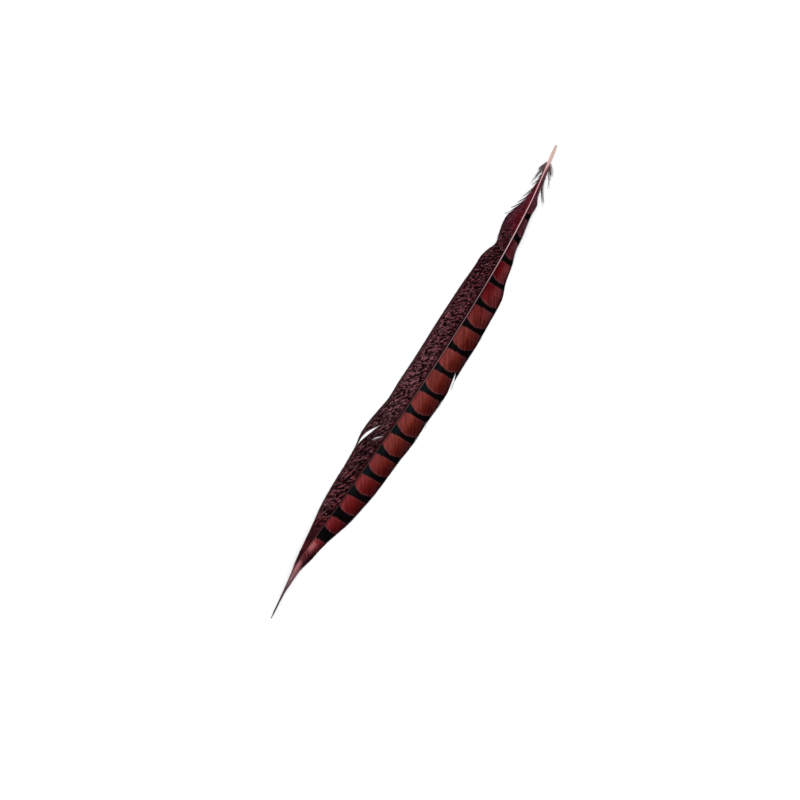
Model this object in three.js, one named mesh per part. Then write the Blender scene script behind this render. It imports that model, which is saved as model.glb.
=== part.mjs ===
// A pheasant's side tail feather, lying on a flat surface with its upper side up.
// Millimetres. +X runs from the quill to the tip, +Y to the barred vane, +Z up.
// The surface is z = 0, and the origin is under the middle of the feather.
//
// Places on the feather are given by a station and a reach. A station is a length
// along the shaft from the foot of the vanes, below zero on the bare quill.
// A reach is a distance sideways from the middle of the shaft.

import * as THREE from 'three';

// Driving dimensions
const QUILL_END = -28;
const TIP_END = 459;
const MIDDLE_STATION = 215;
const MIDDLE_OFFSET = 5.35;
const VANE_THICKNESS = 0.5;
const DOWN_THICKNESS = 0.9;
const ROOT_GAP = 0.3;

// A vane's barb ends this many times its reach nearer the tip than its root. It leaves the
// shaft at about 42 degrees and bends to about 13 degrees at the edge. Down is straighter.
const VANE_SWEEP = 1.75;
const VANE_BEND = 0.6;
const DOWN_BEND = 0.2;

// The vanes slope down from the shaft to the surface at this rise over run
const VANE_SLOPE = 0.32;

const SHAFT_SIDES = 10;
const SHAFT_STEPS = 72;
const VANE_STEPS = 80;
const DOWN_STEPS = 8;
const BARB_STEPS = 6;

const BARRED_SIDE = 1;
const MOTTLED_SIDE = -1;

// Middle line of the shaft: x, sideways offset, height of its centre
const SHAFT_LINE = [
  [QUILL_END, -4.1, 1.17],
  [0, 0, 1.8],
  [19, 2.6, 2.5],
  [55, 5.5, 3.9],
  [126, 7.3, 5.3],
  [191, 6.4, 5.5],
  [237, 4.8, 5.5],
  [280, 2.4, 5.4],
  [344, -1.6, 4.7],
  [376, -4.0, 3.8],
  [406, -5.3, 2.6],
  [423, -4.0, 1.9],
  [458, 0, 0.6],
];

// Radius of the shaft: station, radius
const SHAFT_RADIUS = [
  [QUILL_END, 0.9],
  [QUILL_END + 5, 1.25],
  [QUILL_END + 16, 1.35],
  [0, 1.05],
  [60, 0.85],
  [130, 0.7],
  [280, 0.5],
  [400, 0.35],
  [TIP_END, 0.2],
];

// Outer edge of each vane: station, reach
const BARRED_EDGE = [
  [-1, 2.3],
  [6, 2.9],
  [14, 3.0],
  [20, 3.2],
  [28, 6.0],
  [37, 5.1],
  [45, 5.8],
  [53, 6.7],
  [62, 7.5],
  [71, 8.0],
  [82, 11.2],
  [100, 14.8],
  [113, 19.2],
  [122, 20.0],
  [140, 20.6],
  [158, 21.6],
  [180, 21.6],
  [198, 22.2],
  [213, 22.8],
  [240, 22.2],
  [262, 22.8],
  [280, 21.7],
  [302, 21.2],
  [320, 20.5],
  [332, 19.2],
  [352, 16.7],
  [368, 12.9],
  [384, 9.8],
  [398, 8.0],
  [410, 5.0],
  [422, 3.2],
  [432, 1.7],
  [444, 0.9],
];
const MOTTLED_EDGE = [
  [-1, 1.8],
  [18, 4.8],
  [30, 8.0],
  [37, 10.8],
  [45, 13.6],
  [56, 14.1],
  [65, 12.6],
  [74, 11.2],
  [81, 14.2],
  [88, 16.4],
  [100, 17.0],
  [123, 18.6],
  [158, 19.4],
  [202, 18.9],
  [222, 19.0],
  [240, 18.3],
  [256, 19.9],
  [270, 21.0],
  [280, 20.6],
  [291, 18.4],
  [302, 17.0],
  [331, 15.0],
  [352, 12.8],
  [368, 9.3],
  [384, 6.3],
  [397, 4.0],
  [405, 2.7],
  [414, 1.4],
  [424, 0.8],
];

// First and last barb of each tuft of down: station of the root, then station and reach of the tip
const BARRED_DOWN = {
  first: { root: -12, station: -3, reach: 8.5 },
  last: { root: -5.8, station: 26, reach: 11 },
};
const MOTTLED_DOWN = {
  first: { root: -12, station: -3, reach: 6.5 },
  last: { root: -5.8, station: 27, reach: 9.8 },
};

const LOOKS = {
  shaft: { color: 0xcf9a97, roughness: 0.45 },
  barred_vane: { color: 0x93382c, roughness: 0.8 },
  mottled_vane: { color: 0x5c2430, roughness: 0.8 },
  down_barred_side: { color: 0x6b5550, roughness: 0.9 },
  down_mottled_side: { color: 0x5a3a40, roughness: 0.9 },
};

// A smooth curve through [station, value] points, as a function of the station
function profile(points) {
  const stations = points.map(([station]) => station);
  const values = points.map(([, value]) => value);
  const curve = new THREE.CubicInterpolant(stations, values, 1, [0]);
  return (station) => curve.evaluate(station)[0];
}

const shaftLine = new THREE.CatmullRomCurve3(
  SHAFT_LINE.map(([x, y, z]) => new THREE.Vector3(x, y, z)),
);
const shaftRadius = profile(SHAFT_RADIUS);
const barredEdge = profile(BARRED_EDGE);
const mottledEdge = profile(MOTTLED_EDGE);

// The middle of the shaft at a station, and the level direction across it there
function shaftFrame(station) {
  const share = (station - QUILL_END) / (TIP_END - QUILL_END);
  const centre = shaftLine.getPointAt(share);
  const along = shaftLine.getTangentAt(share);
  const across = new THREE.Vector3(-along.y, along.x, 0).normalize();
  return { centre, along, across };
}

// Height of the underside of the vanes: level with the middle of the shaft at the root,
// falling to the surface and flat on it from there to the edge
function undersideHeight(station, reach) {
  const shaftHeight = shaftFrame(station).centre.z;
  const landing = shaftHeight / VANE_SLOPE;
  const share = Math.min(reach / landing, 1);
  return shaftHeight * (1 - share ** 2) ** 2;
}

// A point of a barb, from 0 at its root to 1 at its tip
function barbPoint(barb, side, share, thickness, level) {
  const station = THREE.MathUtils.lerp(barb.root, barb.station, share);
  const inner = shaftRadius(barb.root) + ROOT_GAP;
  const outward = (1 + barb.bend) * share - barb.bend * share ** 2;
  const reach = THREE.MathUtils.lerp(inner, barb.reach, outward);
  const { centre, across } = shaftFrame(station);
  const point = centre.addScaledVector(across, side * reach);
  point.z = undersideHeight(station, reach) + level * thickness;
  return point;
}

// A closed sheet of barbs: a box whose long sides are the first and the last barb
function barbSheet({ barbAt, side, steps, thickness }) {
  const sheet = new THREE.BoxGeometry(1, 1, 1, steps, BARB_STEPS, 1);
  sheet.translate(0.5, 0.5, 0.5);
  const place = sheet.attributes.position;
  for (let index = 0; index < place.count; index += 1) {
    const along = place.getX(index);
    const share = side === BARRED_SIDE ? place.getY(index) : 1 - place.getY(index);
    const point = barbPoint(barbAt(along), side, share, thickness, place.getZ(index));
    place.setXYZ(index, point.x, point.y, point.z);
  }
  return sheet;
}

// A vane's barbs are named by where they end on its outer edge
function vaneBarbs(edge, points) {
  const first = points[0][0];
  const last = points[points.length - 1][0];
  return (along) => {
    const station = THREE.MathUtils.lerp(first, last, along);
    const reach = edge(station);
    return { root: station - VANE_SWEEP * reach, station, reach, bend: VANE_BEND };
  };
}

function downBarbs({ first, last }) {
  return (along) => ({
    root: THREE.MathUtils.lerp(first.root, last.root, along),
    station: THREE.MathUtils.lerp(first.station, last.station, along),
    reach: THREE.MathUtils.lerp(first.reach, last.reach, along),
    bend: DOWN_BEND,
  });
}

// The shaft: a cylinder bent along its middle line, with its radius at each station
function shaft() {
  const rod = new THREE.CylinderGeometry(1, 1, 1, SHAFT_SIDES, SHAFT_STEPS);
  rod.translate(0, 0.5, 0);
  const place = rod.attributes.position;
  for (let index = 0; index < place.count; index += 1) {
    const station = THREE.MathUtils.lerp(QUILL_END, TIP_END, place.getY(index));
    const { centre, along, across } = shaftFrame(station);
    const down = new THREE.Vector3().crossVectors(across, along);
    const radius = shaftRadius(station);
    centre.addScaledVector(across, radius * place.getX(index));
    centre.addScaledVector(down, radius * place.getZ(index));
    place.setXYZ(index, centre.x, centre.y, centre.z);
  }
  return rod;
}

const barredVane = barbSheet({
  barbAt: vaneBarbs(barredEdge, BARRED_EDGE),
  side: BARRED_SIDE,
  steps: VANE_STEPS,
  thickness: VANE_THICKNESS,
});
const mottledVane = barbSheet({
  barbAt: vaneBarbs(mottledEdge, MOTTLED_EDGE),
  side: MOTTLED_SIDE,
  steps: VANE_STEPS,
  thickness: VANE_THICKNESS,
});
const barredDown = barbSheet({
  barbAt: downBarbs(BARRED_DOWN),
  side: BARRED_SIDE,
  steps: DOWN_STEPS,
  thickness: DOWN_THICKNESS,
});
const mottledDown = barbSheet({
  barbAt: downBarbs(MOTTLED_DOWN),
  side: MOTTLED_SIDE,
  steps: DOWN_STEPS,
  thickness: DOWN_THICKNESS,
});

const feather = new THREE.Group();
feather.position.set(-MIDDLE_STATION, -MIDDLE_OFFSET, 0);

function addPiece(name, geometry) {
  const material = new THREE.MeshStandardMaterial({ ...LOOKS[name], metalness: 0 });
  const piece = new THREE.Mesh(geometry, material);
  piece.name = name;
  feather.add(piece);
}

addPiece('shaft', shaft());
addPiece('barred_vane', barredVane);
addPiece('mottled_vane', mottledVane);
addPiece('down_barred_side', barredDown);
addPiece('down_mottled_side', mottledDown);

export default feather;
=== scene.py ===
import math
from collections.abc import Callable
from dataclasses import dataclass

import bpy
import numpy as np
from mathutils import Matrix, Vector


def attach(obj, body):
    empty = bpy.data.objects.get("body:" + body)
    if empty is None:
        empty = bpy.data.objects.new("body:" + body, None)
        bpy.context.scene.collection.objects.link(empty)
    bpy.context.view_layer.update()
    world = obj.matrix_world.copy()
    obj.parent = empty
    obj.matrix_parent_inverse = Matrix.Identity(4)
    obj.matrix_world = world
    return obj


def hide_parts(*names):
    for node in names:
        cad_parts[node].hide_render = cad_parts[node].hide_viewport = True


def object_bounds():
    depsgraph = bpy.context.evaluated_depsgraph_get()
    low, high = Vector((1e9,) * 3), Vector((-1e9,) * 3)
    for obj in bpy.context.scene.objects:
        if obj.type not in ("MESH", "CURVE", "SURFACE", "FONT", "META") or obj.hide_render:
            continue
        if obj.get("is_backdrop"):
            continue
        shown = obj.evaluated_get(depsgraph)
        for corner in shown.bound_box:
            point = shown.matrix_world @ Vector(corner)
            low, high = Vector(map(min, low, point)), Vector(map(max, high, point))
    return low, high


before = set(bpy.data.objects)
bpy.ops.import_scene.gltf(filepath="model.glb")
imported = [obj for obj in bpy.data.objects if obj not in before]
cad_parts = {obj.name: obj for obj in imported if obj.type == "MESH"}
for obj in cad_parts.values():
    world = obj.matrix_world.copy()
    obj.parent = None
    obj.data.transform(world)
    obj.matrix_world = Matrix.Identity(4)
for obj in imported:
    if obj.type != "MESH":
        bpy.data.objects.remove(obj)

# A pheasant's side tail feather on a pale surface, seen from straight above.
#
# Shapes are worked out in millimetres, and turned into metres as each mesh is made.
# Places on the feather are given by a station and a reach. A station is a length along
# the shaft from the foot of the vanes, below zero on the bare quill. A reach is a
# distance sideways from the middle of the shaft, and a breadth is a reach as a share of
# how far the vane reaches there. A share runs from 0 at a thing's start to 1 at its end.

cad_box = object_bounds()

MM = 0.001

# The frame's driving dimensions, as the CAD model has them
QUILL_END = -28
TIP_END = 459
MIDDLE_STATION = 215
MIDDLE_OFFSET = 5.35
VANE_THICKNESS = 0.5
VANE_SLOPE = 0.32
BARRED_SIDE = 1
MOTTLED_SIDE = -1

# Nothing comes nearer the surface than this
SURFACE_GAP = 0.02

# Middle line of the shaft: x, then sideways offset or height of its centre
SHAFT_OFFSET = [
    (QUILL_END, -4.1), (0, 0), (19, 2.6), (55, 5.5), (126, 7.3), (191, 6.4), (237, 4.8),
    (280, 2.4), (344, -1.6), (376, -4.0), (406, -5.3), (423, -4.0), (458, 0),
]
SHAFT_HEIGHT = [
    (QUILL_END, 1.17), (0, 1.8), (19, 2.5), (55, 3.9), (126, 5.3), (191, 5.5), (237, 5.5),
    (280, 5.4), (344, 4.7), (376, 3.8), (406, 2.6), (423, 1.9), (458, 0.6),
]
# Station, radius
SHAFT_RADIUS = [
    (QUILL_END, 0.9), (-23, 1.25), (-12, 1.35), (0, 1.05), (60, 0.85), (130, 0.7),
    (280, 0.5), (400, 0.37), (430, 0.37), (TIP_END, 0.36),
]
# The rounded end of the quill and the small hole in it: distance from the end, share of
# the radius. The plain rod goes on from ROD_START.
QUILL_TIP = [
    (2.6, 0.0), (2.6, 0.22), (0.6, 0.3), (0.05, 0.4), (0, 0.55), (0.2, 0.78), (0.7, 0.93),
    (1.6, 1.0),
]
ROD_START = QUILL_END + 2
# The tip is rounded off over this length, to this share of the radius
ROUND_TIP = 0.3
BLUNT_TIP = 0.3
SHAFT_SIDES = 24
SHAFT_STEPS = 420
# The groove under the shaft and the ridge on it: share of the radius, spread in radians
GROOVE_DEPTH = 0.3
GROOVE_SPREAD = 0.42
RIDGE_HEIGHT = 0.06
RIDGE_SPREAD = 0.5

# Outer edge of each vane: station, reach
BARRED_EDGE = [
    (-1, 2.3), (6, 2.9), (14, 3.0), (20, 3.2), (28, 6.0), (37, 5.1), (45, 5.8),
    (53, 6.7), (62, 7.5), (71, 8.0), (82, 11.2), (100, 14.8), (113, 19.2), (122, 20.0),
    (140, 20.6), (158, 21.6), (180, 21.6), (198, 22.2), (213, 22.8), (240, 22.2),
    (262, 22.8), (280, 21.7), (302, 21.2), (320, 20.5), (332, 19.2), (352, 16.7),
    (368, 12.9), (384, 9.8), (398, 8.0), (410, 5.0), (422, 3.2), (432, 1.7), (444, 0.9),
    (456, 0.5),
]
MOTTLED_EDGE = [
    (-1, 1.8), (18, 4.8), (30, 8.0), (37, 10.8), (45, 13.6), (56, 14.1), (65, 12.6),
    (74, 11.2), (81, 14.2), (88, 16.4), (100, 17.0), (123, 18.6), (158, 19.4),
    (202, 18.9), (222, 19.0), (240, 18.3), (256, 19.9), (270, 21.0), (280, 20.6),
    (291, 18.4), (302, 17.0), (331, 15.0), (352, 12.8), (368, 9.3), (384, 6.3),
    (397, 4.0), (405, 2.7), (414, 1.4), (424, 0.8), (456, 0.5),
]

# How far nearer the tip of the feather a barb ends than its root: root, length
BARRED_SWEEP = [
    (-9, 3.5), (0, 4.5), (20, 10), (50, 18), (80, 34), (100, 41), (250, 43), (300, 37),
    (330, 30), (360, 20), (400, 9), (452, 4),
]
MOTTLED_SWEEP = [
    (-9, 3.5), (0, 6), (12, 14), (22, 22), (30, 26), (45, 24), (60, 24), (90, 27),
    (180, 28), (210, 31), (230, 43), (246, 54), (258, 46), (275, 36), (300, 31),
    (325, 26), (345, 20), (375, 13), (400, 9), (452, 4),
]

# How far out a barb has come at each share of its length. Most curve evenly. Those of the
# middle of the mottled vane run straight out, and turn tipward in a narrow outer strip.
EVEN_BEND = [(0, 0), (0.2, 0.32), (0.4, 0.58), (0.6, 0.78), (0.8, 0.92), (1, 1)]
SHARP_BEND = [(0, 0), (0.25, 0.42), (0.45, 0.74), (0.55, 0.84), (0.7, 0.92), (0.85, 0.97), (1, 1)]

# A barb's root is at this share of the shaft's radius. Its half width is this share of the
# distance to the next barb, within limits.
ROOT_DEPTH = 0.7
BARB_PITCH = 0.45
BARB_STEPS = 20
BARB_SIDES = 4
BARB_COVER = 0.56
THINNEST_BARB = 0.03
WIDEST_BARB = 0.24

# Tufts, where barbs cling together in a point that stands out from the edge: root, half
# width at the root, how far the point moves tipward and outward, share where it starts
BARRED_TUFTS = [
    (-5, 1.2, 1.0, 0.4, 0.3), (-1.5, 1.2, 1.6, 0.6, 0.3), (1.6, 1.0, 2.0, 0.6, 0.4),
    (7.2, 0.4, 7.0, 3.0, 0.0), (8.8, 1.0, 10.8, 6.4, 0.0), (109, 0.9, 1.2, 0.5, 0.82),
    (131, 1.1, 1.5, 0.5, 0.82), (151.8, 1.8, 2.6, 1.3, 0.8), (171, 1.1, 2.0, 0.8, 0.82),
    (194.5, 1.3, 2.4, 1.2, 0.82), (212, 1.1, 1.8, 0.8, 0.82), (238, 1.0, 1.6, 0.5, 0.82),
]
MOTTLED_TUFTS = [
    (-5.2, 1.3, 0.6, 0.6, 0.4), (-2, 1.0, 1.8, 1.4, 0.4), (2.2, 0.9, 3.4, 2.7, 0.4),
    (6.8, 0.5, 5.4, 3.0, 0.4), (9.2, 0.7, 4.4, 3.4, 0.45), (13.6, 0.9, 4.2, 3.4, 0.5),
    (17.2, 1.0, 4.4, 3.6, 0.55), (21.5, 1.2, 4.6, 3.2, 0.6),
]
# Slits between two barbs: root of the barbs, first and last station, width, spread of the
# barbs that make way, and 1 for one that closes again or 0.5 for one that opens at the edge
BARRED_SLITS = [
    (154, 188, 197, 1.9, 2.0, 0.5),
]
MOTTLED_SLITS = [
    (246, 262.5, 290, 2.7, 5.0, 1),
    (267.2, 269, 280, 2.3, 2.5, 1),
]

# Black bars lie evenly along the barred vane, apart from what BARS says: station, then how
# wide a bar is at the shaft, in the middle of the vane and at its edge, how far its outer
# end leans towards the tip, and how far the whole bar lies from its even place
FIRST_BAR = 38.3
BAR_SPACING = 22.09
BARS = [
    (38, 6.2, 5.6, 5.6, 0.5, 0.6),
    (60, 8.4, 6.4, 7.2, 5.0, 0.0),
    (82, 7.2, 4.8, 6.2, 1.6, -1.9),
    (104, 8.6, 4.0, 5.4, 1.4, -2.2),
    (126, 8.6, 3.9, 6.2, 0.3, -2.0),
    (148, 8.6, 4.0, 8.4, 0.0, -2.3),
    (170, 7.8, 4.0, 10.0, 0.0, -1.2),
    (214, 9.0, 3.9, 8.6, -0.2, -0.8),
    (236, 9.2, 4.0, 8.4, -0.5, -0.4),
    (260, 10.6, 4.2, 7.6, -1.0, -0.2),
    (300, 10.6, 4.8, 8.2, -1.0, -0.4),
    (325, 11.4, 5.4, 9.0, -1.0, -0.8),
    (347, 11.2, 7.2, 8.6, -0.5, 0.4),
    (370, 14.0, 11.0, 11.4, 0.0, 3.4),
]
# How far tipward of its place a bar's far edge is in the middle of the vane, and how much
# farther at the shaft and at the edge of the vane
BAR_FRONT = 3.5
FRONT_AT_SHAFT = 0.9
FRONT_AT_EDGE = -0.4

# Down: root, station and reach of the tip of the first and the last barb
BARRED_DOWN = ((-12, -3, 8.5), (-5.8, 26, 11))
MOTTLED_DOWN = ((-12, -3, 6.5), (-5.8, 27, 9.8))
DOWN_STRANDS = 30
STRAND_STEPS = 22
STRAND_SIDES = 3
STRAND_HALF_WIDTHS = (0.07, 0.02)
CLINGING_WIDTH = 1.7
FRINGE_PER_STEP = 3
FRINGE_HALF_WIDTH = 0.022
SLIVER_CORNERS = 4

# The view: the photo's scale, and how far the feather leans from upright in it
PHOTO_PIXELS = 800
PHOTO_SCALE = 0.88
FEATHER_LEAN = 31.56
VIEW_CENTRE = (19.7, -9.3)
LENS = 135
SENSOR = 36

# The light: strengths, then degrees
SKY_STRENGTH = 0.55
LAMP_STRENGTH = 1.9
LAMP_SPREAD = 30
LAMP_TILT = 20
LAMP_TURN = 40

# Metres
FLOOR_HALF = 12
VIEW_DEPTH = 100

# How finely the shaft's middle line and random waves are worked out
LINE_SAMPLES = 2000
DIRECTION_SAMPLES = 600
WAVE_HEIGHTS = 4096
WAVE_START = 1024
# The least length that a vector is divided by
TINY = 1e-9

# A strip of a surface map: its start and size across and up, as shares of its own place
STRIP_SIDE = 0.1
STRIP_WIDTH = 0.8
STRIP_FOOT = 0.03
STRIP_LENGTH = 0.94
VANE_MAP_ROWS = 4


# ---------------------------------------------------------------- curves and waves

def smooth(points):
    """A smooth curve through (place, value) points, as a function of arrays of places."""
    place, value = np.array(points, float).T
    slope = np.gradient(value, place)

    def curve(at):
        at = np.clip(at, place[0], place[-1])
        span = np.clip(np.searchsorted(place, at, side="right") - 1, 0, len(place) - 2)
        width = place[span + 1] - place[span]
        part = (at - place[span]) / width
        rest = 1 - part
        start = (1 + 2 * part) * rest**2 * value[span] + part * rest**2 * width * slope[span]
        end = (3 - 2 * part) * value[span + 1] - rest * width * slope[span + 1]
        return start + part**2 * end

    return curve


def ease_between(low, high, at):
    """0 below low, 1 above high, and a smooth step between."""
    part = np.clip((at - low) / (high - low), 0, 1)
    return part * part * (3 - 2 * part)


def mix(start, end, share):
    return start + (end - start) * share


def wander(at, period, seed):
    """A smooth random wave between -1 and 1 that turns about once a period."""
    heights = np.random.default_rng(seed).uniform(-1, 1, WAVE_HEIGHTS)
    place = np.asarray(at, float) / period + WAVE_START
    cell = np.floor(place).astype(int)
    ease = ease_between(0, 1, place - cell)
    return mix(heights[cell % WAVE_HEIGHTS], heights[(cell + 1) % WAVE_HEIGHTS], ease)


def unit(vectors):
    return vectors / np.maximum(np.linalg.norm(vectors, axis=-1, keepdims=True), TINY)


def shares(steps):
    """The share of its length at each step of a barb or strand, for all of them at once."""
    return np.linspace(0, 1, steps)[None, :]


shaft_offset = smooth(SHAFT_OFFSET)
shaft_height = smooth(SHAFT_HEIGHT)
shaft_radius = smooth(SHAFT_RADIUS)

line_x = np.linspace(SHAFT_OFFSET[0][0], SHAFT_OFFSET[-1][0], LINE_SAMPLES)
line_points = np.stack([line_x, shaft_offset(line_x), shaft_height(line_x)], 1)
line_steps = np.linalg.norm(np.diff(line_points, axis=0), axis=1)
line_length = np.concatenate([[0], np.cumsum(line_steps)])
line_station = mix(QUILL_END, TIP_END, line_length / line_length[-1])


def shaft_frame(station):
    """The middle of the shaft at each station, and the level direction across it there."""
    x = np.interp(station, line_station, line_x)
    slope = shaft_offset(x + 0.5) - shaft_offset(x - 0.5)
    across = unit(np.stack([-slope, np.ones_like(x), np.zeros_like(x)], -1))
    return np.stack([x, shaft_offset(x), shaft_height(x)], -1), across


def shaft_direction(station):
    """The direction along the shaft at each station."""
    samples = np.linspace(QUILL_END, TIP_END, DIRECTION_SAMPLES)
    along = unit(np.gradient(shaft_frame(samples)[0], axis=0))
    return np.stack([np.interp(station, samples, part) for part in along.T], 1)


def underside_height(station, reach):
    """Height of the underside of the vanes: level with the middle of the shaft at the root,
    falling to the surface and flat on it from there to the edge."""
    height = shaft_frame(station)[0][..., 2]
    landing = height / VANE_SLOPE
    return height * (1 - np.minimum(reach / landing, 1) ** 2) ** 2


def place_on_vane(station, reach, side, lift):
    """Points at a station and a reach, this far above the underside of the vane."""
    centre, across = shaft_frame(station)
    points = centre + across * (side * reach)[..., None]
    points[..., 2] = underside_height(station, reach) + lift
    return points


# ---------------------------------------------------------------- meshes

def corner_angles(sides):
    return 2 * math.pi * np.arange(sides) / sides


def outward(across, up, angle):
    """The direction out from the middle of a rod at an angle round it."""
    return across * math.cos(angle) + up * math.sin(angle)


def tubes(rings):
    """Walls and end caps of closed tubes whose rings are an array of tube, ring, corner, xyz.
    Also, for each corner of each face, its tube, its ring and how far round the ring it is."""
    count, steps, sides = rings.shape[:3]
    index = np.arange(count * steps * sides).reshape(count, steps, sides)
    tube, step, side = np.indices((count, steps - 1, sides))
    walls = []
    places = []
    for ring_on, side_on in ((0, 0), (0, 1), (1, 1), (1, 0)):
        walls.append(index[tube, step + ring_on, (side + side_on) % sides])
        places.append(np.stack([tube, step + ring_on, side + side_on], -1))
    walls = np.stack(walls, -1).reshape(-1, 4)
    places = np.stack(places, -2).reshape(-1, 3)
    caps = np.concatenate([index[:, 0, ::-1], index[:, -1]])
    cap_tube, cap_side = np.indices((count, sides))
    first = np.stack([cap_tube, 0 * cap_tube, cap_side[:, ::-1]], -1)
    last = np.stack([cap_tube, 0 * cap_tube + steps - 1, cap_side], -1)
    cap_places = np.concatenate([first, last]).reshape(-1, 3)
    return walls.tolist() + caps.tolist(), np.concatenate([places, cap_places])


def add_object(name, data):
    """Puts a mesh, a light or a camera into the scene."""
    made = bpy.data.objects.new(name, data)
    bpy.context.collection.objects.link(made)
    return made


def add_mesh(name, points, faces, places):
    """A mesh object from points in the feather's millimetres, with its map of the surface."""
    points = points.reshape(-1, 3) - np.array([MIDDLE_STATION, MIDDLE_OFFSET, 0])
    points[:, 2] = points[:, 2].clip(SURFACE_GAP)
    mesh = bpy.data.meshes.new(name)
    mesh.from_pydata((points * MM).tolist(), [], faces)
    layer = mesh.uv_layers.new(name="OFBake")
    layer.uv.foreach_set("vector", places.astype(np.float32).ravel())
    return add_object(name, mesh)


def add_number(piece, name, values):
    """Gives each point of a mesh a number that its material reads by this name."""
    layer = piece.data.attributes.new(name, "FLOAT", "POINT")
    layer.data.foreach_set("value", values.astype(np.float32).ravel())


def fold_map(places, count, steps, sides, rows):
    """A map on which each tube is an upright strip, with its two halves folded together."""
    columns = math.ceil(count / rows)
    tube, step, side = places.T
    across = np.abs(side - sides / 2) / (sides / 2)
    u = (tube % columns + STRIP_SIDE + STRIP_WIDTH * across) / columns
    v = (tube // columns + STRIP_FOOT + STRIP_LENGTH * step / (steps - 1)) / rows
    return np.stack([u, v], 1)


def sharpen_ridges(piece, sides):
    """Keeps the edges that run along thin tubes sharp, and shades the tubes smoothly along."""
    mesh = piece.data
    ends = np.empty(len(mesh.edges) * 2, np.int32)
    mesh.edges.foreach_get("vertices", ends)
    ends = ends.reshape(-1, 2)
    along = np.abs(ends[:, 0] - ends[:, 1]) == sides
    mesh.shade_smooth()
    sharp = mesh.attributes.new("sharp_edge", "BOOLEAN", "EDGE")
    sharp.data.foreach_set("value", along)


def stand_for(piece, node, material):
    piece.data.materials.append(material)
    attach(piece, "root")
    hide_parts(node)


# ---------------------------------------------------------------- the vanes

@dataclass
class Vane:
    """One vane: its side of the shaft, its outline, how its barbs run, and what marks it."""

    side: int
    edge: Callable
    sweep: list
    bend: Callable
    tufts: list
    slits: list
    bars: list
    seed: int


def even_bend(root, share):
    return smooth(EVEN_BEND)(share) + 0 * root


def mottled_bend(root, share):
    sharp = ease_between(38, 60, root) * ease_between(238, 212, root)
    return mix(smooth(EVEN_BEND)(share), smooth(SHARP_BEND)(share), sharp)


def fray(course, root, share, random, seed):
    """Ends of uneven length, and neighbours that lean together, most of all at the foot."""
    station, reach = course
    loose = 1 - 0.8 * ease_between(10, 60, root)
    ragged = (0.2 + 0.9 * loose) * random.uniform(-1, 0.6, root.shape)
    clump = (0.2 + 0.5 * loose) * wander(root, 1.7, seed)
    station = station + (0.8 * ragged + 1.2 * clump) * share**4
    reach = reach + (0.25 * ragged + 0.3 * clump) * share**4
    return station, reach


def gather(course, tuft, vane, root, share, random):
    """Pulls the barbs of one tuft towards its point."""
    station, reach = course
    tuft_root, half_width, tipward, outward_by, start = tuft
    inside = np.abs(root - tuft_root) <= half_width
    even_tip = tuft_root + smooth(vane.sweep)(tuft_root)
    lag = random.uniform(-0.9, 0.2, root.shape) * (0.9 + 0.4 * tipward)
    grip = random.uniform(0.75, 0.95, root.shape)
    pull = grip * inside * ease_between(start, 1.25, share) / ease_between(start, 1.25, 1)
    point_station = even_tip + tipward + lag
    point_reach = vane.edge(even_tip) + 1.15 * outward_by + 0.3 * lag
    station = station + pull * (point_station - station[:, -1:])
    reach = reach + pull * (point_reach - reach[:, -1:])
    return station, reach


def part_barbs(course, slit, root):
    """Moves the barbs on both sides of a slit away from it."""
    station, reach = course
    slit_root, first, last, width, spread, closed = slit
    along = np.clip((station - first) / (last - first), 0, 1)
    gape = 0.5 * width * np.sin(math.pi * closed * along) ** 1.5
    away = root - slit_root
    return station, reach - np.sign(away) * gape * np.exp(-np.abs(away) / spread)


def barb_courses(vane):
    """Roots of the barbs, then their stations and reaches as arrays of barb, step: first
    with no tufts or slits, then as they are."""
    random = np.random.default_rng(vane.seed)
    share = shares(BARB_STEPS + 1)
    root = np.arange(vane.sweep[0][0], vane.sweep[-1][0], BARB_PITCH)[:, None]
    station = root + smooth(vane.sweep)(root) * share
    inner = ROOT_DEPTH * shaft_radius(root)
    reach = inner + (vane.edge(station) - inner) * vane.bend(root, share)
    even = (station, reach)
    course = fray(even, root, share, random, vane.seed + 1)
    for tuft in vane.tufts:
        course = gather(course, tuft, vane, root, share, random)
    for slit in vane.slits:
        course = part_barbs(course, slit, root)
    return root, even, course


def barb_directions(even, side):
    """Directions across and up from each barb, and the distance to the next one."""
    middle = place_on_vane(*even, side, 0.5 * VANE_THICKNESS)
    along = unit(np.gradient(middle, axis=1))
    to_next = np.gradient(middle, axis=0)
    distance = np.linalg.norm(np.cross(to_next, along), axis=-1)
    up = unit(np.cross(along, to_next))
    up *= np.sign(up[..., 2:])
    return unit(np.cross(up, along)), up, distance


def barb_rings(vane, root, even, course):
    """Four-cornered rings along each barb. Barbs lie at slightly different heights and taper
    at the end. Each is wide enough to reach the next one, with more to spare at the foot of
    the vane, where tufts draw them apart."""
    share = shares(BARB_STEPS + 1)
    seed = vane.seed
    wave = 0.5 + 0.5 * wander(root, 17, seed + 2) + 0.25 * wander(root, 5, seed + 3)
    lift = 0.5 * VANE_THICKNESS + 0.45 * wave.clip(0, 2) * share**2
    middle = place_on_vane(*course, vane.side, lift + 0.05 * wander(root, 1.2, seed + 4))

    across, up, distance = barb_directions(even, vane.side)
    taper = np.minimum(1, (1.03 - share) / 0.08)
    spare = 1 + 0.8 * (1 - ease_between(20, 30, root)) * share
    half_width = (BARB_COVER * distance * spare).clip(THINNEST_BARB, WIDEST_BARB) * taper
    ridge = 0.03 + 0.45 * half_width
    sideways = across * half_width[..., None]
    upwards = up * ridge[..., None]
    corners = [middle + sideways, middle + upwards, middle - sideways, middle - 1.2 * upwards]
    return np.stack(corners, 2)


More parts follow.
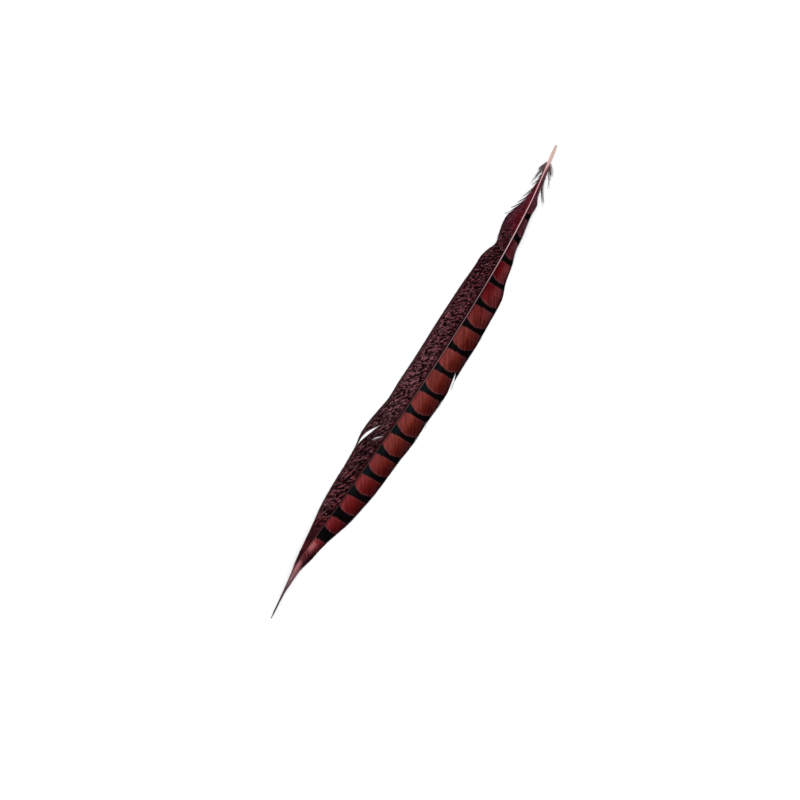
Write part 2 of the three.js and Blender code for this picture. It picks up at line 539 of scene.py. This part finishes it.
def bar_numbers(bars, station, breadth):
    """How far past the first bar a point is, and the far and near edge of the bar there."""
    table = np.array(bars)
    places = table[:, 0]
    at_shaft, in_middle, at_edge, lean, drift = [
        np.interp(station, places, column) for column in table[:, 1:].T
    ]
    inner = (1 - 2 * breadth).clip(0, 1) ** 1.8
    outer = (2 * breadth - 1).clip(0, 1) ** 1.9
    width = in_middle + (at_shaft - in_middle) * inner + (at_edge - in_middle) * outer
    front = BAR_FRONT + FRONT_AT_SHAFT * inner + FRONT_AT_EDGE * outer
    past_first = station - lean * (breadth - 0.5) - drift - FIRST_BAR
    return {"past_first": past_first, "bar_front": front, "bar_back": front - width}


def barb_numbers(vane, root, course):
    """What a material reads at each ring: its place on its barb and on the vane, a chance
    number for each barb, and its place among the bars."""
    station, reach = course
    breadth = reach / vane.edge(station)
    steps = np.hypot(np.diff(station, prepend=root), np.diff(reach, prepend=0))
    numbers = {
        "root": root,
        "length": np.cumsum(steps, 1),
        "chance": np.random.default_rng(vane.seed + 5).uniform(0, 1, root.shape),
        "station": station,
        "breadth": breadth,
    }
    if vane.bars:
        numbers.update(bar_numbers(vane.bars, station, breadth))
    return numbers


def add_vane(name, vane):
    """The barbs of one vane as closed slivers side by side."""
    root, even, course = barb_courses(vane)
    rings = barb_rings(vane, root, even, course)
    faces, places = tubes(rings)
    surface_map = fold_map(places, len(root), BARB_STEPS + 1, BARB_SIDES, VANE_MAP_ROWS)
    piece = add_mesh(name, rings, faces, surface_map)
    sharpen_ridges(piece, BARB_SIDES)
    for number, values in barb_numbers(vane, root, course).items():
        add_number(piece, number, np.broadcast_to(values[..., None], rings.shape[:3]))
    return piece


# ---------------------------------------------------------------- the down

@dataclass
class Down:
    """One tuft of down: its side of the shaft, the ends of its first and last barb, and how
    many of the last barbs cling together."""

    side: int
    ends: tuple
    clinging: int
    seed: int


def down_courses(down):
    """Middle lines of the loose barbs of down, as an array of barb, step, xyz. Those that
    cling together lie along the edge of the vane before they stand out from it."""
    random = np.random.default_rng(down.seed)
    (first_root, first_station, first_reach), (last_root, last_station, last_reach) = down.ends
    clinging = slice(-down.clinging, None)
    share = shares(STRAND_STEPS)
    order = np.sort(random.uniform(0, 1, DOWN_STRANDS))[:, None]
    order[clinging] = mix(0.94, 1, order[clinging])
    length = random.uniform(0.35, 0.9, order.shape)
    length[clinging] = random.uniform(0.85, 1, (down.clinging, 1))
    length[-1] = 1

    root = mix(first_root, last_root, order)
    tip_station = mix(root, mix(first_station, last_station, order), length)
    tip_reach = mix(first_reach, last_reach, order) * (0.35 + 0.65 * length)
    inner = ROOT_DEPTH * shaft_radius(root)
    out = np.repeat(1.25 * share - 0.25 * share**2, DOWN_STRANDS, 0)
    out[clinging] = share**2.3

    turns = random.uniform(0.5, 1.3, order.shape)
    start = random.uniform(0, 2 * math.pi, order.shape)
    curl = random.uniform(0.3, 1.8, order.shape) * share * (1 - 0.5 * share)
    curl[clinging] *= 0.35
    angle = start + 2 * math.pi * turns * share
    station = mix(root, tip_station, share) + curl * np.cos(angle)
    reach = mix(inner, tip_reach, out) + curl * np.sin(angle)
    lift = 0.25 + random.uniform(0, 1.6, order.shape) * share * (1.3 - share)
    return place_on_vane(station, np.maximum(reach, inner), down.side, lift)


def strand_directions(middle):
    """Directions along, across and up from each step of each strand."""
    along = unit(np.gradient(middle, axis=1))
    across = unit(np.cross([0.0, 0.0, 1.0], along))
    return along, across, np.cross(along, across)


def strand_rings(middle, across, up, clinging):
    """Rings along each strand, finer towards its tip. Those that cling together are wider."""
    half_width = mix(*STRAND_HALF_WIDTHS, shares(STRAND_STEPS)[..., None])
    half_width = np.repeat(half_width, len(middle), 0)
    half_width[-clinging:] *= CLINGING_WIDTH
    angles = corner_angles(STRAND_SIDES)
    return np.stack([middle + half_width * outward(across, up, angle) for angle in angles], 2)


def fringe(middle, along, across, up, seed):
    """Finer barbules on both sides of each strand, as slivers of four corners that lean
    towards its tip. Also each one's strand, place along it and side."""
    random = np.random.default_rng(seed)
    count, steps = middle.shape[:2]
    spots = np.linspace(1, steps - 1.01, (steps - 2) * FRINGE_PER_STEP)
    tube, spot = np.meshgrid(np.arange(count), spots, indexing="ij")
    tube = np.concatenate([tube, tube]).ravel()
    spot = np.concatenate([spot, spot]).ravel() + random.uniform(-0.12, 0.12, tube.size)
    spot = spot.clip(0, steps - 1.001)
    hand = np.repeat([1.0, -1.0], tube.size // 2)
    whole = spot.astype(int)
    foot = mix(middle[tube, whole], middle[tube, whole + 1], (spot - whole)[:, None])
    heading = along[tube, whole]
    upward = up[tube, whole]
    tilt = random.uniform(-0.3, 0.6, (tube.size, 1)) * upward
    reach = random.uniform(0.7, 1.9, (tube.size, 1)) * (1 - 0.55 * spot[:, None] / steps)
    point = foot + reach * unit(0.9 * heading + across[tube, whole] * hand[:, None] + tilt)
    back = foot - FRINGE_HALF_WIDTH * heading
    front = foot + FRINGE_HALF_WIDTH * heading
    top = foot + FRINGE_HALF_WIDTH * upward
    return np.stack([back, front, top, point], 1), tube, spot / steps, hand


def sliver_faces(first, hand):
    """The four faces of each sliver, with their corners the right way round for its side."""
    corner = first + SLIVER_CORNERS * np.arange(hand.size)[:, None]
    flip = (hand < 0)[:, None]
    faces = []
    for a, b, c in ((0, 2, 1), (0, 1, 3), (1, 2, 3), (2, 0, 3)):
        faces.append(np.where(flip, corner + [a, c, b], corner + [a, b, c]))
    return np.stack(faces, 1).reshape(-1, 3)


def fringe_map(corner, tube, place, count):
    """A map on which each sliver stands beside the middle of its strand's strip."""
    sliver = corner // SLIVER_CORNERS
    at_point = corner % SLIVER_CORNERS == SLIVER_CORNERS - 1
    u = (tube[sliver] + 0.5 + 0.35 * at_point) / count
    v = STRIP_FOOT + STRIP_LENGTH * place[sliver] + 0.01 * (corner % 2)
    return np.stack([u, v], 1)


def add_down(name, down):
    """Loose barbs of down: fine strands, each fringed with finer ones on both sides."""
    middle = down_courses(down)
    count = len(middle)
    along, across, up = strand_directions(middle)
    rings = strand_rings(middle, across, up, down.clinging)
    faces, places = tubes(rings)
    strand_map = fold_map(places, count, STRAND_STEPS, STRAND_SIDES, rows=1)
    slivers, tube, place, hand = fringe(middle, along, across, up, down.seed + 1)
    first = rings.size // 3
    fringe_faces = sliver_faces(first, hand)
    fringe_corners = (fringe_faces - first).ravel()
    surface_map = np.concatenate([strand_map, fringe_map(fringe_corners, tube, place, count)])
    points = np.concatenate([rings.reshape(-1, 3), slivers.reshape(-1, 3)])
    piece = add_mesh(name, points, faces + fringe_faces.tolist(), surface_map)
    piece.data.shade_flat()

    def add_down_number(number, at_ring, at_sliver):
        at_strand = np.broadcast_to(at_ring, rings.shape[:3]).ravel()
        add_number(piece, number, np.concatenate([at_strand, np.repeat(at_sliver, SLIVER_CORNERS)]))

    chance = np.random.default_rng(down.seed + 2).uniform(0, 1, count)
    add_down_number("share", shares(STRAND_STEPS)[..., None], place)
    add_down_number("chance", chance[:, None, None], chance[tube])
    add_down_number("fringe", 0, np.ones(len(tube)))
    return piece


# ---------------------------------------------------------------- the shaft

def shaft_rings(station, size):
    """Rings of the quill and the rachis: round at first, then with a groove under the vanes
    and a ridge on top."""
    centre, across = shaft_frame(station)
    up = np.cross(shaft_direction(station), across)
    radius = shaft_radius(station) * size
    groove = GROOVE_DEPTH * ease_between(-4, 40, station)
    ridge = RIDGE_HEIGHT * ease_between(-8, 10, station)
    rings = []
    for angle in corner_angles(SHAFT_SIDES):
        under = math.exp(-(((angle - 1.5 * math.pi) / GROOVE_SPREAD) ** 2))
        over = math.exp(-(((angle - 0.5 * math.pi) / RIDGE_SPREAD) ** 2))
        out = radius * (1 - groove * under + ridge * over)
        rings.append(centre + out[:, None] * outward(across, up, angle))
    return np.stack(rings, 1)[None]


def add_shaft():
    """The quill and the rachis as one closed rod."""
    from_end, end_size = np.array(QUILL_TIP).T
    rod = np.linspace(ROD_START, TIP_END - ROUND_TIP, SHAFT_STEPS)
    station = np.concatenate([QUILL_END + from_end, rod, [TIP_END]])
    size = np.concatenate([end_size, np.ones_like(rod), [BLUNT_TIP]])
    rings = shaft_rings(station, size)
    faces, places = tubes(rings)
    step, side = places.T[1:]
    u = 0.02 + 0.96 * side / SHAFT_SIDES
    v = 0.01 + 0.98 * step / (len(station) - 1)
    piece = add_mesh("shaft_horn_rod", rings, faces, np.stack([u, v], 1))
    piece.data.shade_smooth()
    angle = corner_angles(SHAFT_SIDES)
    add_number(piece, "station", np.repeat(station, SHAFT_SIDES))
    add_number(piece, "sideways", np.tile(np.cos(angle), len(station)))
    add_number(piece, "height", np.tile(np.sin(angle), len(station)))
    return piece


# ---------------------------------------------------------------- how materials are built

# Which sockets of the Mix node are the ones for colours
MIX_SHARE = 0
MIX_UNDER = 6
MIX_OVER = 7
MIX_RESULT = 2

# Colours are given as they look on a screen, 0 to 255
BLACK = (4, 2, 3)
WINE = (46, 14, 18)
FLOOR_WHITE = (246, 246, 247)

# The stretch before the tip that has shades of its own
TIP_SHADES_START = 380
TIP_SHADES_LENGTH = 80


def linear(shade):
    """A screen colour in the linear numbers that nodes use."""
    levels = np.array(shade) / 255
    linear_levels = np.where(levels <= 0.04045, levels / 12.92, ((levels + 0.055) / 1.055) ** 2.4)
    return (*linear_levels.tolist(), 1.0)


def feed(socket, value):
    """Puts a number, a screen colour or what another node works out into a socket."""
    if isinstance(value, Value):
        socket.id_data.links.new(value.socket, socket)
    elif isinstance(value, tuple):
        socket.default_value = linear(value)
    else:
        socket.default_value = value


class Value:
    """What a node works out at each point of a surface. It can be used in sums like a plain
    number, and each sum becomes a node."""

    def __init__(self, socket):
        self.socket = socket

    def new_node(self, kind):
        return self.socket.id_data.nodes.new(kind)

    def combine(self, operation, first, second=0.0):
        node = self.new_node("ShaderNodeMath")
        node.operation = operation
        feed(node.inputs[0], first)
        feed(node.inputs[1], second)
        return Value(node.outputs[0])

    def __add__(self, other):
        return self.combine("ADD", self, other)

    def __sub__(self, other):
        return self.combine("SUBTRACT", self, other)

    def __rsub__(self, other):
        return self.combine("SUBTRACT", other, self)

    def __mul__(self, other):
        return self.combine("MULTIPLY", self, other)

    def __truediv__(self, other):
        return self.combine("DIVIDE", self, other)

    def __abs__(self):
        return self.combine("ABSOLUTE", self)

    def __round__(self):
        return self.combine("ROUND", self)

    def at_least(self, other):
        return self.combine("MAXIMUM", self, other)

    def at_most(self, other):
        return self.combine("MINIMUM", self, other)

    def step(self, low, high):
        """0 where this is below low, 1 above high, and a smooth step between. With the
        higher place first it steps down."""
        node = self.new_node("ShaderNodeMapRange")
        node.interpolation_type = "SMOOTHSTEP"
        feed(node.inputs["Value"], self)
        feed(node.inputs["From Min"], low)
        feed(node.inputs["From Max"], high)
        return Value(node.outputs["Result"])


class Paint:
    """One material, with a short method for each kind of node that it is built from."""

    def __init__(self, name, specular):
        self.material = bpy.data.materials.new(name)
        self.material.use_nodes = True
        self.nodes = self.material.node_tree.nodes
        self.shader = self.nodes["Principled BSDF"]
        self.shader.inputs["Specular IOR Level"].default_value = specular

    def number(self, name):
        """A number that add_number gave each point."""
        source = self.nodes.new("ShaderNodeAttribute")
        source.attribute_name = name
        return Value(source.outputs["Fac"])

    def noise(self, x, y, z, detail=2.0, distortion=0.0):
        """Noise from 0 to 1 that turns about once a unit along x, y and z. A plain number
        for z only tells one noise from another."""
        point = self.nodes.new("ShaderNodeCombineXYZ")
        for socket, value in zip(point.inputs, (x, y, z)):
            feed(socket, value)
        node = self.nodes.new("ShaderNodeTexNoise")
        feed(node.inputs["Vector"], Value(point.outputs[0]))
        feed(node.inputs["Scale"], 1.0)
        feed(node.inputs["Detail"], detail)
        feed(node.inputs["Distortion"], distortion)
        return Value(node.outputs["Fac"])

    def ramp(self, at, stops):
        """Colours along a line: (place, colour) stops."""
        node = self.nodes.new("ShaderNodeValToRGB")
        elements = node.color_ramp.elements
        while len(elements) < len(stops):
            elements.new(0.5)
        for element, (place, shade) in zip(elements, stops):
            element.position = place
            element.color = linear(shade)
        feed(node.inputs[0], at)
        return Value(node.outputs["Color"])

    def blend(self, share, under, over, kind="MIX"):
        """One colour under this share of another."""
        node = self.nodes.new("ShaderNodeMix")
        node.data_type = "RGBA"
        node.blend_type = kind
        feed(node.inputs[MIX_SHARE], share)
        feed(node.inputs[MIX_UNDER], under)
        feed(node.inputs[MIX_OVER], over)
        return Value(node.outputs[MIX_RESULT])

    def brighten(self, shade, by):
        """The colour times a number."""
        node = self.nodes.new("ShaderNodeVectorMath")
        node.operation = "SCALE"
        feed(node.inputs[0], shade)
        feed(node.inputs["Scale"], by)
        return Value(node.outputs[0])

    def bump(self, height, distance, strength):
        """Roughens the surface by a height, with the distance in metres."""
        node = self.nodes.new("ShaderNodeBump")
        feed(node.inputs["Strength"], strength)
        feed(node.inputs["Distance"], distance)
        feed(node.inputs["Height"], height)
        feed(self.shader.inputs["Normal"], Value(node.outputs[0]))

    def finish(self, shade, roughness):
        feed(self.shader.inputs["Base Color"], shade)
        feed(self.shader.inputs["Roughness"], roughness)
        return self.material


class BarbPaint(Paint):
    """A material for barbs, with the numbers that place a point on its barb and its vane."""

    def __init__(self, name):
        super().__init__(name, specular=0.02)
        self.root = self.number("root")
        self.length = self.number("length")
        self.chance = self.number("chance")
        self.station = self.number("station")
        self.breadth = self.number("breadth")

    def barb_noise(self, by_root, by_length, z, **looks):
        """Noise drawn out along the barbs, as they are narrow and long."""
        return self.noise(self.root * by_root, self.length * by_length, z, **looks)

    def finish_barbs(self, shade, edge, roughness):
        """Darkens the edge of the vane, and streaks the barbs, which differ in brightness."""
        shade = self.blend(edge, shade, BLACK)
        fine = self.barb_noise(1.3, 0.07, 3.0, detail=3.0)
        broad = self.barb_noise(0.35, 0.04, 7.0)
        shade = self.brighten(shade, fine * 1.9 + broad * 1.2 - 0.7 + self.chance * 0.3)
        self.bump(self.barb_noise(2.2, 0.5, 5.0), distance=0.0002, strength=0.4)
        return self.finish(shade, roughness)


# ---------------------------------------------------------------- the barred vane's material

def cell_shades(paint):
    """Colours of the cells between the bars, from the shaft to the edge. They change along
    the feather, from the foot to the stretch before the tip."""
    foot = paint.ramp(paint.breadth, [
        (0.0, (24, 5, 8)), (0.25, (56, 22, 28)), (0.5, (78, 38, 45)), (0.8, (78, 46, 54)),
        (1.0, (22, 9, 12)),
    ])
    near = paint.ramp(paint.breadth, [
        (0.0, (50, 3, 9)), (0.2, (84, 4, 13)), (0.4, (90, 16, 20)), (0.55, (108, 40, 40)),
        (0.8, (102, 43, 44)), (1.0, (26, 8, 10)),
    ])
    middle = paint.ramp(paint.breadth, [
        (0.0, (118, 46, 44)), (0.12, (132, 58, 56)), (0.35, (122, 52, 44)), (0.55, (96, 30, 22)),
        (0.75, (76, 24, 20)), (0.92, (54, 26, 26)), (1.0, (20, 9, 10)),
    ])
    far = paint.ramp(paint.breadth, [
        (0.0, (100, 26, 32)), (0.14, (120, 42, 46)), (0.35, (106, 26, 28)), (0.6, (86, 14, 16)),
        (0.85, (60, 9, 11)), (1.0, (18, 6, 8)),
    ])
    shade = paint.blend(paint.station.step(58, 88), foot, near)
    shade = paint.blend(paint.station.step(100, 172), shade, middle)
    return paint.blend(paint.station.step(268, 336), shade, far)


def past_nearest_bar(paint):
    """How far a point is past the even place of the nearest bar. It wavers from barb to
    barb, so that the edges of the bars do."""
    uneven = paint.barb_noise(0.3, 0.04, 11.0, detail=1.0)
    place = paint.number("past_first") + (paint.chance * 0.4 - 0.2) + (uneven - 0.5) * 1.8
    return place - round(place / BAR_SPACING) * BAR_SPACING


def painted_rim_sheen(paint, shade, past_back, past_front):
    """Rosy rims along both edges of a bar, where a cell starts: a painted grey-pink sheen."""
    near = past_back.step(-1.9, -0.6) * past_back.step(0.5, -0.2)
    far = past_front.step(-0.2, 0.4) * past_front.step(1.5, 0.6)
    rim_sheen = near.at_least(far * 0.6) * 0.45 * barred_length(paint) * paint.breadth.step(1.0, 0.8)
    return paint.blend(rim_sheen, shade, (100, 66, 74))


def dusky_streaks(paint, shade, from_bar):
    """Dark streaks along the barbs, in the outer and near part of each cell."""
    corner = paint.breadth.step(0.3, 0.9) * from_bar.step(8, -10)
    amount = corner * (paint.station.step(190, 160) * 1.3 + 0.9) + 0.18
    dusk = paint.barb_noise(0.7, 0.05, 19.0, detail=3.0).step(0.46, 0.55) * amount
    return paint.blend(dusk.at_most(0.85), shade, (58, 4, 6))


def barred_length(paint):
    """1 along the stretch of the vane that has bars."""
    return paint.station.step(30, 33) * paint.station.step(382, 379)


def bar_shades(paint):
    """The bars' black, which is slightly teal by the shaft in the middle of the feather."""
    teal = paint.ramp(paint.breadth, [
        (0.0, (14, 16, 17)), (0.15, (15, 24, 25)), (0.4, (8, 5, 6)), (1.0, BLACK),
    ])
    teal_length = paint.station.step(160, 210) * paint.station.step(336, 316)
    return paint.blend(teal_length * 0.85 + 0.15, (7, 3, 4), teal)


def tip_shades(paint, shade, breadth, outer_shade):
    """The last stretch of both vanes: rosy patches by the shaft, dark wine between and outside."""
    uneven = paint.noise(paint.root * 1.5, paint.station * 0.04, 29.0, detail=3.0)
    place = paint.station + (uneven - 0.47) * 24.0
    along = (place - TIP_SHADES_START) / TIP_SHADES_LENGTH
    inner = paint.ramp(along, [
        (0.0, (140, 52, 58)), (0.08, (180, 108, 112)), (0.14, (124, 60, 62)), (0.2, (76, 28, 31)),
        (0.27, (96, 48, 50)), (0.33, (176, 108, 114)), (0.5, (148, 112, 116)),
        (0.62, (92, 74, 76)), (1.0, (60, 50, 50)),
    ])
    outer = paint.ramp(along, [
        (0.0, outer_shade), (0.05, outer_shade), (0.12, (78, 26, 32)), (0.2, WINE),
        (0.32, (50, 20, 24)), (0.4, (128, 80, 85)), (0.5, (112, 76, 80)), (0.62, (84, 62, 64)),
        (1.0, (50, 38, 40)),
    ])
    tip = paint.blend(breadth.step(0.2, 0.65), inner, outer)
    return paint.blend(place.step(379, 386), shade, tip)


def barred_material():
    """Brick red cells between black bars, darker towards the edge of the vane."""
    paint = BarbPaint("barred_barbs")
    from_bar = past_nearest_bar(paint)
    past_back = from_bar - paint.number("bar_back")
    past_front = from_bar - paint.number("bar_front")
    # Painted sheen: rosy rims along both edges of each bar
    cells = painted_rim_sheen(paint, cell_shades(paint), past_back, past_front)
    cells = dusky_streaks(paint, cells, from_bar)
    on_bar = past_back.step(-0.55, 0.55) * past_front.step(0.55, -0.55) * barred_length(paint)
    surface = paint.blend(on_bar, cells, bar_shades(paint))
    foot = paint.blend(paint.barb_noise(0.9, 0.2, 23.0), (40, 8, 16), (100, 50, 62))
    surface = paint.blend(paint.station.step(38, 22), surface, foot)
    surface = tip_shades(paint, surface, paint.breadth, (116, 40, 45))
    tip_length = paint.station.step(374, 384) * paint.station.step(410, 402)
    tip_edge = paint.breadth.step(0.5, 0.9) * tip_length
    edge = paint.breadth.step(0.95, 1.0).at_least(tip_edge) * 0.75
    return paint.finish_barbs(surface, edge, roughness=0.7)


# ---------------------------------------------------------------- the mottled vane's material

def mottled_foot(paint):
    """Plainer and redder than the rest, with crimson blotches by the shaft."""
    shade = paint.ramp(paint.breadth, [
        (0.0, (60, 5, 12)), (0.2, (96, 14, 25)), (0.5, (90, 32, 45)), (0.85, (90, 44, 57)),
        (1.0, (20, 6, 11)),
    ])
    blotch = paint.barb_noise(0.3, 0.16, 31.0, detail=4.0)
    shade = paint.blend(blotch.step(0.46, 0.62) * paint.breadth.step(0.8, 0.3), shade, (104, 14, 29))
    patches = paint.barb_noise(0.6, 0.22, 37.0, detail=4.0)
    return paint.brighten(shade, patches.step(0.36, 0.62) * 1.15 + 0.4)


def mottled_ground(paint):
    """The dusty crimson between the spots, darker by the shaft and at the edge."""
    station = paint.station
    ground = paint.ramp(paint.breadth, [
        (0.0, (30, 6, 10)), (0.08, (48, 14, 18)), (0.2, (108, 60, 66)), (0.5, (120, 74, 80)),
        (0.78, (116, 70, 74)), (0.86, (92, 54, 58)), (0.94, (76, 46, 49)), (1.0, (16, 7, 9)),
    ])
    tint = paint.ramp(station / TIP_END, [
        (0.1, (225, 170, 185)), (0.22, (225, 175, 190)), (0.3, (240, 215, 220)),
        (0.45, (250, 255, 255)), (0.57, (240, 250, 245)), (0.65, (238, 208, 212)),
        (0.8, (250, 184, 190)),
    ])
    ground = paint.blend(1.0, ground, tint, "MULTIPLY")
    lighter_length = station.step(185, 205) * station.step(328, 308)
    ground = paint.brighten(ground, paint.breadth.step(0.34, 0.16) * lighter_length * 0.5 + 1.0)
    return paint.blend(station.step(80, 44), ground, mottled_foot(paint))


def spot_rows(paint, shifted):
    """High where the spots are: short rows on most of the vane, long streaks towards its end."""
    station = paint.station
    short_rows = paint.noise(paint.root * 0.6, shifted * 0.32, 3.0, detail=1.5, distortion=0.8)
    long_rows = paint.noise(paint.root * 0.36, shifted * 0.12, 9.0, distortion=0.6)
    far = station.step(262, 292)
    cover = station.step(130, 100) * 0.035 + station.step(228, 256) * 0.046 + 0.02
    return short_rows * (1.0 - far * 0.7) + long_rows * far - far * 0.15 + cover


def mottled_material():
    """Dusty crimson with blackish spots in broken rows along the barbs."""
    paint = BarbPaint("mottled_barbs")
    station = paint.station
    breadth = paint.breadth
    shifted = paint.length + paint.chance * 0.25
    rows = spot_rows(paint, shifted)
    amount = breadth.step(0.04, 0.14) * breadth.step(0.97, 0.84) * (station.step(46, 64) * 0.55 + 0.45)
    spot_shade = paint.blend(rows.step(0.5, 0.58), (27, 0, 4), (10, 0, 1))
    surface = paint.blend(rows.step(0.45, 0.5) * amount, mottled_ground(paint), spot_shade)

    # Pale flecks on single barbs, partly the feather's own pale marks and partly painted highlights,
    # most where the barbs bend and towards the tip
    pale_flecks_and_highlights = paint.noise(paint.root * 1.1, shifted * 0.22, 13.0, detail=3.0).step(0.56, 0.66)
    fleck_and_highlight_share = breadth.step(0.55, 0.85) * 0.35 + station.step(318, 340) * 0.35 + 0.45
    surface = paint.blend(pale_flecks_and_highlights * fleck_and_highlight_share * amount, surface, (160, 114, 121))

    surface = paint.blend(station.step(350, 378) * 0.9, surface, WINE)
    surface = tip_shades(paint, surface, breadth + 0.48, WINE)
    return paint.finish_barbs(surface, breadth.step(0.94, 1.0) * 0.8, roughness=0.72)


# ---------------------------------------------------------------- other materials

def shaft_material():
    """Horn: pinkish and pale on the quill, with a pale line along the top of the ridge that
    darkens to the tip. The line is partly pale horn and partly a painted highlight. Near
    the foot the line lies a little to the mottled side, and it gets narrower from there."""
    paint = Paint("shaft_horn", specular=0.3)
    station = paint.number("station")
    sideways = paint.number("sideways")
    height = paint.number("height")
    along = (station - QUILL_END) / (TIP_END - QUILL_END)
    # Shades of the pale line on top of the shaft: partly pale horn, partly a painted highlight
    ridge = paint.ramp(along, [
        (0.0, (206, 176, 160)), (0.05, (212, 164, 166)), (0.1, (224, 172, 180)),
        (0.17, (210, 170, 172)), (0.24, (180, 144, 146)), (0.32, (138, 108, 112)),
        (0.44, (130, 98, 100)), (0.52, (88, 58, 58)), (0.62, (52, 28, 28)), (0.78, (54, 28, 30)),
        (0.84, (104, 44, 50)), (0.87, (104, 50, 54)), (0.9, (160, 108, 114)),
        (0.95, (84, 72, 72)), (1.0, (58, 52, 50)),
    ])
    sides = paint.ramp(along, [
        (0.0, (190, 150, 138)), (0.04, (160, 104, 102)), (0.065, (84, 32, 38)),
        (0.2, (34, 10, 13)), (0.5, (34, 13, 16)), (0.8, (44, 18, 20)), (0.88, (90, 50, 54)),
        (0.94, (62, 52, 52)), (1.0, (44, 40, 38)),
    ])
    grain = paint.noise(station * 0.35, sideways * 5.0, height, detail=3.0)
    from_highlight_line = abs(sideways + station.step(105, 25) * 0.55)
    aside = from_highlight_line + grain * 0.1 + station.step(60, 130) * 0.15
    # The painted highlight: a pale line only on the upper half of the shaft
    highlight_line = aside.step(0.62, 0.4) * height.step(0.0, 0.3)
    shade = paint.blend(highlight_line.at_least(station.step(-2, -12)), sides, ridge)
    shade = paint.brighten(shade, grain * 0.4 + 0.8)
    paint.bump(paint.noise(station * 0.2, sideways * 9.0, 1.0), distance=0.0001, strength=0.3)
    return paint.finish(shade, roughness=grain * 0.25 + 0.34)


def down_material(name, root_shade, tip_shade):
    """Dull down that changes shade from the root to the tip, with a paler fringe."""
    paint = Paint(name, specular=0.05)
    share = paint.number("share")
    shade = paint.ramp(share, [(0.0, root_shade), (0.55, (76, 58, 58)), (1.0, tip_shade)])
    shade = paint.blend(paint.number("fringe") * 0.35, shade, (150, 136, 132))
    mottle = paint.noise(share * 14.0, paint.number("chance") * 31.0, 2.0)
    return paint.finish(paint.brighten(shade, mottle * 0.9 + 0.55), roughness=0.8)


# ---------------------------------------------------------------- the stage

def add_floor():
    half = FLOOR_HALF
    mesh = bpy.data.meshes.new("floor")
    corners = [(-half, -half, 0), (half, -half, 0), (half, half, 0), (-half, half, 0)]
    mesh.from_pydata(corners, [], [(0, 1, 2, 3)])
    mesh.materials.append(Paint("floor_white", specular=0.0).finish(FLOOR_WHITE, roughness=0.9))
    add_object("floor", mesh)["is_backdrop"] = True


def add_lights():
    """An even white sky and one wide soft lamp."""
    world = bpy.data.worlds.new("studio")
    world.use_nodes = True
    sky = world.node_tree.nodes["Background"]
    sky.inputs["Color"].default_value = (1, 1, 1, 1)
    sky.inputs["Strength"].default_value = SKY_STRENGTH
    bpy.context.scene.world = world
    key = bpy.data.lights.new("key", "SUN")
    key.energy = LAMP_STRENGTH
    key.angle = math.radians(LAMP_SPREAD)
    turn = math.radians(FEATHER_LEAN + LAMP_TURN)
    add_object("key", key).rotation_euler = (math.radians(LAMP_TILT), 0, turn)


def add_camera():
    """A camera straight above, with the feather in its place and lean in the photo."""
    data = bpy.data.cameras.new("camera")
    data.lens = LENS
    data.sensor_width = SENSOR
    data.clip_end = VIEW_DEPTH
    camera = add_object("camera", data)
    height = PHOTO_PIXELS * PHOTO_SCALE * MM * LENS / SENSOR
    camera.location = (VIEW_CENTRE[0] * MM, VIEW_CENTRE[1] * MM, height)
    camera.rotation_euler = (0, 0, math.radians(90 + FEATHER_LEAN))
    bpy.context.scene.camera = camera
    bpy.context.scene.view_settings.view_transform = "Standard"


def corners_of(box):
    return [list(corner) for corner in box]


# ---------------------------------------------------------------- the feather

barred_vane = Vane(
    side=BARRED_SIDE,
    edge=smooth(BARRED_EDGE),
    sweep=BARRED_SWEEP,
    bend=even_bend,
    tufts=BARRED_TUFTS,
    slits=BARRED_SLITS,
    bars=BARS,
    seed=100,
)
mottled_vane = Vane(
    side=MOTTLED_SIDE,
    edge=smooth(MOTTLED_EDGE),
    sweep=MOTTLED_SWEEP,
    bend=mottled_bend,
    tufts=MOTTLED_TUFTS,
    slits=MOTTLED_SLITS,
    bars=[],
    seed=200,
)
barred_down = Down(side=BARRED_SIDE, ends=BARRED_DOWN, clinging=8, seed=300)
mottled_down = Down(side=MOTTLED_SIDE, ends=MOTTLED_DOWN, clinging=2, seed=400)

add_camera()
add_floor()
add_lights()

stand_for(add_shaft(), "shaft", shaft_material())

barred = add_vane("barred_vane_barbs", barred_vane)
stand_for(barred, "barred_vane", barred_material())
mottled = add_vane("mottled_vane_barbs", mottled_vane)
stand_for(mottled, "mottled_vane", mottled_material())

grey_strands = add_down("down_barred_strands", barred_down)
grey = down_material("down_grey", root_shade=(120, 84, 80), tip_shade=(40, 34, 36))
stand_for(grey_strands, "down_barred_side", grey)
plum_strands = add_down("down_mottled_strands", mottled_down)
plum = down_material("down_plum", root_shade=(104, 48, 56), tip_shade=(32, 26, 30))
stand_for(plum_strands, "down_mottled_side", plum)


{"cad": corners_of(cad_box), "visual": corners_of(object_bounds())}
